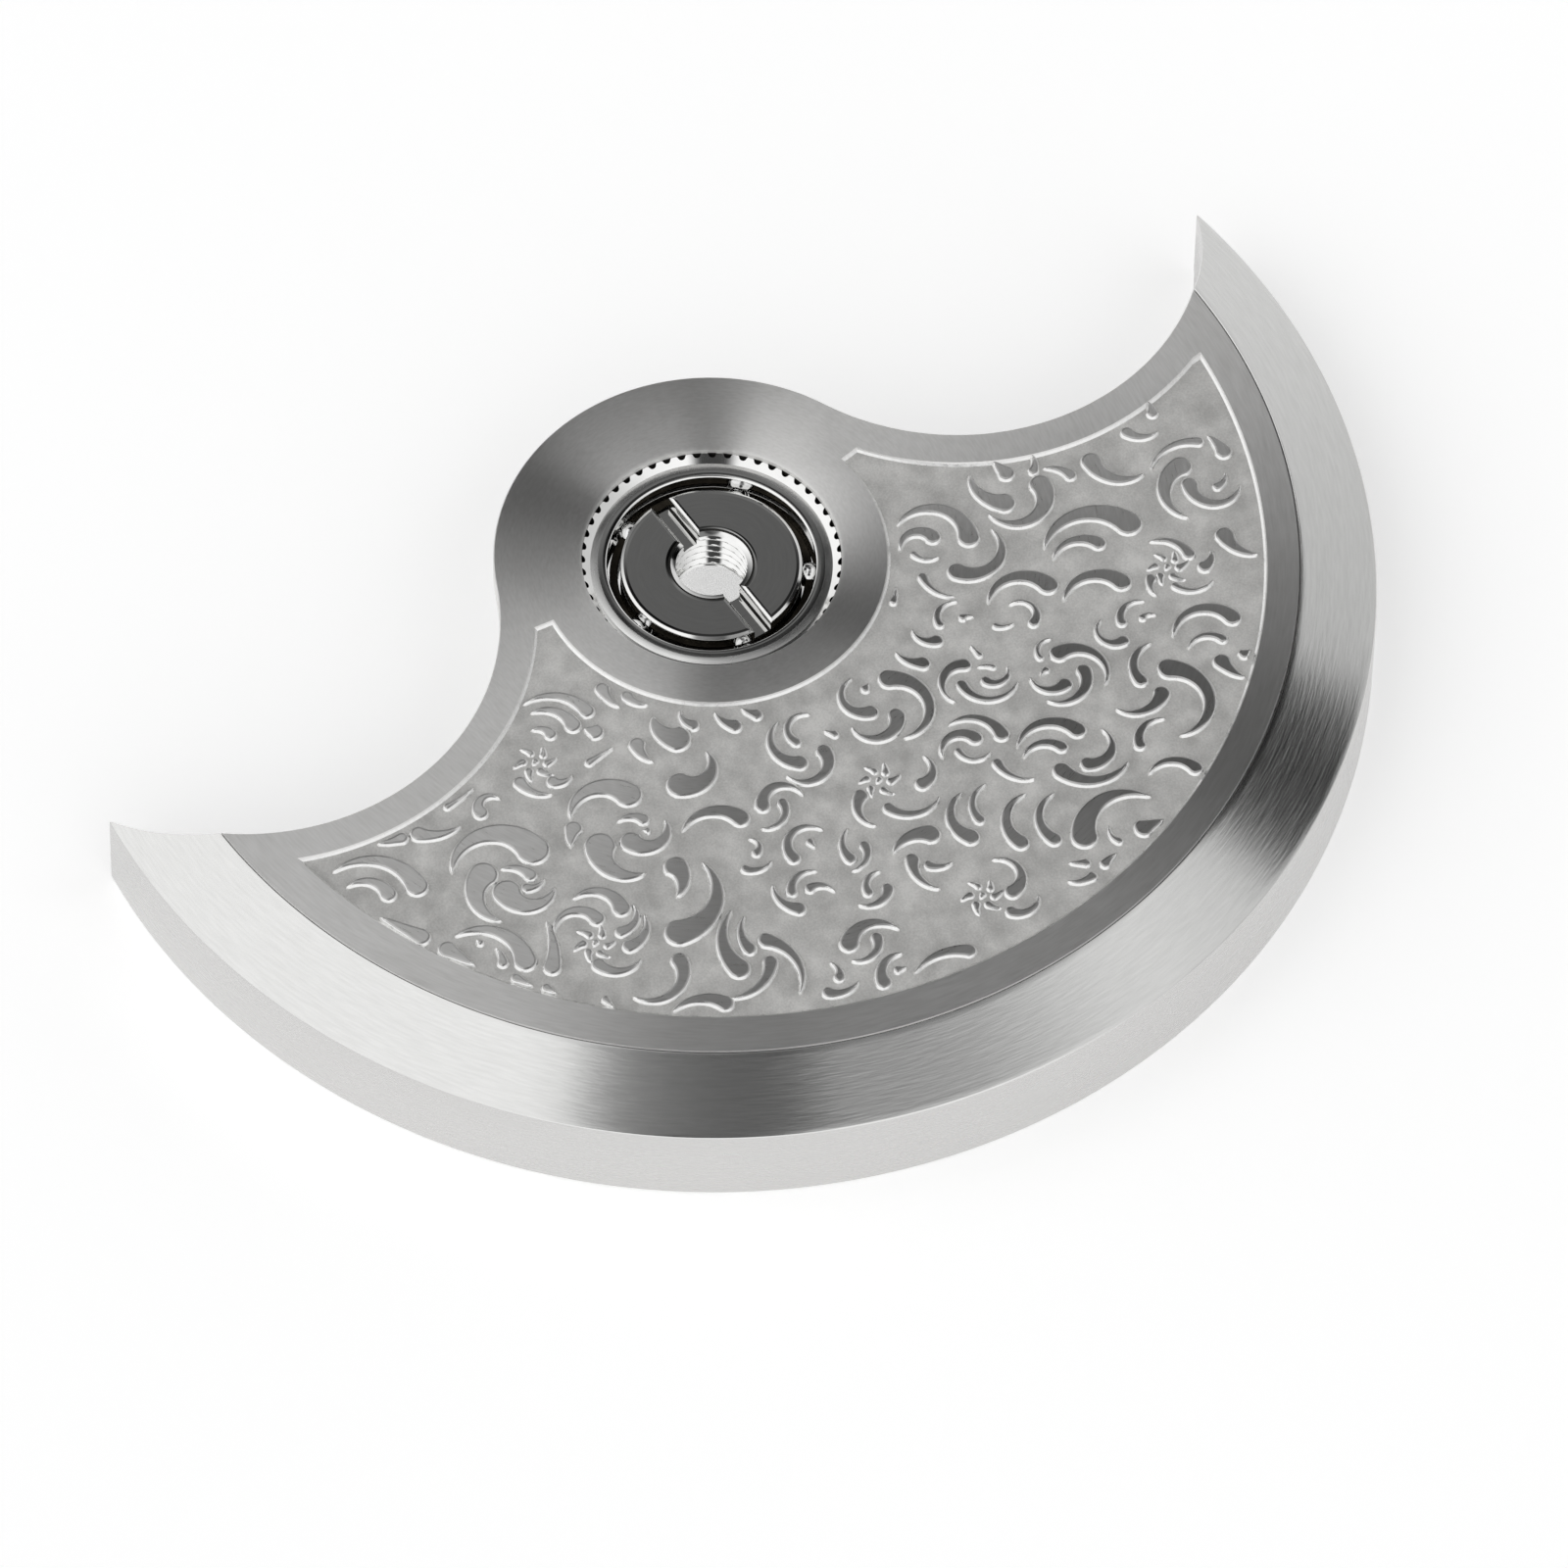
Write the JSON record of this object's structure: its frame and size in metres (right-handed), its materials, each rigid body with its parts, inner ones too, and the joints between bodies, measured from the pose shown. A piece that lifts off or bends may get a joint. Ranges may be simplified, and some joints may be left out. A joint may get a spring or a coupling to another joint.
{
  "type": "automatic watch rotor",
  "caption": "Half-moon winding rotor with a bevelled heavy rim, a sunk field and a toothed ball bearing on a slotted, threaded core.",
  "frame": {"origin": "centre of the threaded bore at the core's seat face, which sits on the movement", "axes": "+Z along the bore, from the movement towards the case back; the heavy rim's middle lies towards -Y"},
  "size_m": [0.0256, 0.017, 0.0027],
  "materials": {
    "plate_steel": "satin, circular brushed, frosted field",
    "rim_metal": "circular brushed bevel, fine turned wall",
    "ring_steel": "polished",
    "core_steel": "mirror polished",
    "cage_metal": "dull, darkened",
    "ball_steel": "mirror polished"
  },
  "bodies": {
    "core": {"bearing_core": "core_steel", "bearing_cone": "core_steel"},
    "rotor": {"rotor_plate": "plate_steel", "rim_weight": "rim_metal", "bearing_outer_ring": "ring_steel"},
    "cage": {"ball_cage": "cage_metal"},
    "ball_1": {"ball_1": "ball_steel"},
    "ball_2": {"ball_2": "ball_steel"},
    "ball_3": {"ball_3": "ball_steel"},
    "ball_4": {"ball_4": "ball_steel"},
    "ball_5": {"ball_5": "ball_steel"}
  },
  "joints": [
    {"name": "rotor_spin", "type": "hinge", "parent": "core", "child": "rotor", "pos_m": [0, 0, 0.0006], "axis": [0, 0, 1], "continuous": true},
    {"name": "cage_spin", "type": "hinge", "parent": "core", "child": "cage", "pos_m": [0, 0, 0.0006], "axis": [0, 0, 1], "continuous": true},
    {"name": "ball_1_spin", "type": "hinge", "parent": "cage", "child": "ball_1", "pos_m": [0.00142, 0.00123, 0.0006], "axis": [0, 0, 1], "continuous": true},
    {"name": "ball_2_spin", "type": "hinge", "parent": "cage", "child": "ball_2", "pos_m": [-0.00073, 0.00173, 0.0006], "axis": [0, 0, 1], "continuous": true},
    {"name": "ball_3_spin", "type": "hinge", "parent": "cage", "child": "ball_3", "pos_m": [-0.00187, -0.00016, 0.0006], "axis": [0, 0, 1], "continuous": true},
    {"name": "ball_4_spin", "type": "hinge", "parent": "cage", "child": "ball_4", "pos_m": [-0.00042, -0.00183, 0.0006], "axis": [0, 0, 1], "continuous": true},
    {"name": "ball_5_spin", "type": "hinge", "parent": "cage", "child": "ball_5", "pos_m": [0.00161, -0.00097, 0.0006], "axis": [0, 0, 1], "continuous": true}
  ],
  "couplings": [
    {"joint": "cage_spin", "follows": "rotor_spin", "ratio": 0.56649},
    {"joint": "ball_1_spin", "follows": "rotor_spin", "ratio": 3.6935},
    {"joint": "ball_2_spin", "follows": "rotor_spin", "ratio": 3.6935},
    {"joint": "ball_3_spin", "follows": "rotor_spin", "ratio": 3.6935},
    {"joint": "ball_4_spin", "follows": "rotor_spin", "ratio": 3.6935},
    {"joint": "ball_5_spin", "follows": "rotor_spin", "ratio": 3.6935}
  ]
}
